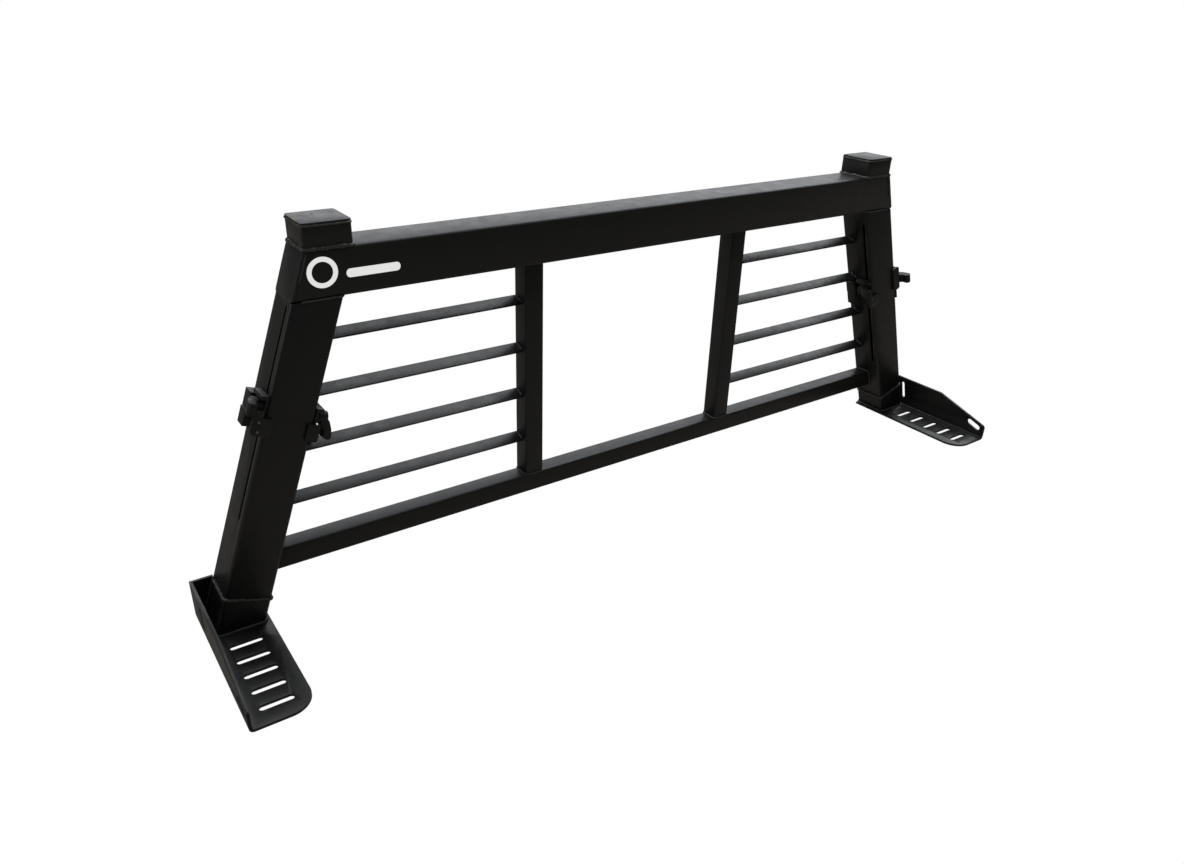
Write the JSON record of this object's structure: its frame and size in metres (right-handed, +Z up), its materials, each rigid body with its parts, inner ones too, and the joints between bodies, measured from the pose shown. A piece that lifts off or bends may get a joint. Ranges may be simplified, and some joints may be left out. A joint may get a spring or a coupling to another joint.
{
  "type": "headache rack",
  "caption": "Welded square-tube headache rack for a pickup bed: slanted legs on slotted feet, top beam, bottom rail, posts, tilted slats and sliding tie-down cleats.",
  "frame": {"origin": "middle of the box's underside: on the floor under the feet, midway between them and midway along them", "axes": "+X across the truck towards the right foot, +Y towards the frame's back face, -Y the way the feet point, +Z up"},
  "size_m": [1.7548, 0.3074, 0.6498],
  "materials": {
    "frame_steel": "satin black powder coat",
    "foot_plate": "satin black powder coat",
    "cleat_steel": "black powder coat",
    "zinc_steel": "zinc plated",
    "nylon": "moulded"
  },
  "bodies": {
    "frame": {"top_beam": "frame_steel", "beam_end_cap_left": "frame_steel", "beam_end_cap_right": "frame_steel", "cap_block_left": "frame_steel", "cap_block_right": "frame_steel", "cap_plate_left": "frame_steel", "cap_plate_right": "frame_steel", "leg_left": "frame_steel", "leg_right": "frame_steel", "foot_stub_left": "frame_steel", "foot_stub_right": "frame_steel", "foot_bracket_left": "foot_plate", "foot_bracket_right": "foot_plate", "bottom_rail": "frame_steel", "post_left": "frame_steel", "post_right": "frame_steel", "slat_left_1": "frame_steel", "slat_left_2": "frame_steel", "slat_left_3": "frame_steel", "slat_left_4": "frame_steel", "slat_right_1": "frame_steel", "slat_right_2": "frame_steel", "slat_right_3": "frame_steel", "slat_right_4": "frame_steel"},
    "cleat_left_outer": {"cleat_bracket_left_outer": "cleat_steel", "cleat_bolt_left_outer": "zinc_steel", "cleat_slider_left_outer": "zinc_steel", "cleat_washer_left_outer": "zinc_steel"},
    "knob_left_outer": {"cleat_knob_left_outer": "nylon"},
    "cleat_left_inner": {"cleat_bracket_left_inner": "cleat_steel", "cleat_bolt_left_inner": "zinc_steel", "cleat_slider_left_inner": "zinc_steel", "cleat_washer_left_inner": "zinc_steel"},
    "knob_left_inner": {"cleat_knob_left_inner": "nylon"},
    "cleat_right_outer": {"cleat_bracket_right_outer": "cleat_steel", "cleat_bolt_right_outer": "zinc_steel", "cleat_slider_right_outer": "zinc_steel", "cleat_washer_right_outer": "zinc_steel"},
    "knob_right_outer": {"cleat_knob_right_outer": "nylon"},
    "cleat_right_inner": {"cleat_bracket_right_inner": "cleat_steel", "cleat_bolt_right_inner": "zinc_steel", "cleat_slider_right_inner": "zinc_steel", "cleat_washer_right_inner": "zinc_steel"},
    "knob_right_inner": {"cleat_knob_right_inner": "nylon"}
  },
  "joints": [
    {"name": "cleat_left_outer_slide", "type": "slide", "parent": "frame", "child": "cleat_left_outer", "axis": [0.3322, 0, 0.9432], "range_m": [-0.193, 0.148]},
    {"name": "knob_left_outer_turn", "type": "hinge", "parent": "cleat_left_outer", "child": "knob_left_outer", "pos_m": [-0.73143, 0.0937, 0.3824], "axis": [-0.9432, 0, 0.3322], "continuous": true},
    {"name": "cleat_left_inner_slide", "type": "slide", "parent": "frame", "child": "cleat_left_inner", "axis": [0.3322, 0, 0.9432], "range_m": [-0.0095, 0.0095]},
    {"name": "knob_left_inner_turn", "type": "hinge", "parent": "cleat_left_inner", "child": "knob_left_inner", "pos_m": [-0.66354, 0.0937, 0.34577], "axis": [0.9432, 0, -0.3322], "continuous": true},
    {"name": "cleat_right_outer_slide", "type": "slide", "parent": "frame", "child": "cleat_right_outer", "axis": [-0.3322, 0, 0.9432], "range_m": [-0.165, 0.176]},
    {"name": "knob_right_outer_turn", "type": "hinge", "parent": "cleat_right_outer", "child": "knob_right_outer", "pos_m": [0.74073, 0.0937, 0.35599], "axis": [0.9432, 0, 0.3322], "continuous": true},
    {"name": "cleat_right_inner_slide", "type": "slide", "parent": "frame", "child": "cleat_right_inner", "axis": [-0.3322, 0, 0.9432], "range_m": [-0.0155, 0.003]},
    {"name": "knob_right_inner_turn", "type": "hinge", "parent": "cleat_right_inner", "child": "knob_right_inner", "pos_m": [0.66138, 0.0937, 0.3519], "axis": [-0.9432, 0, -0.3322], "continuous": true}
  ]
}
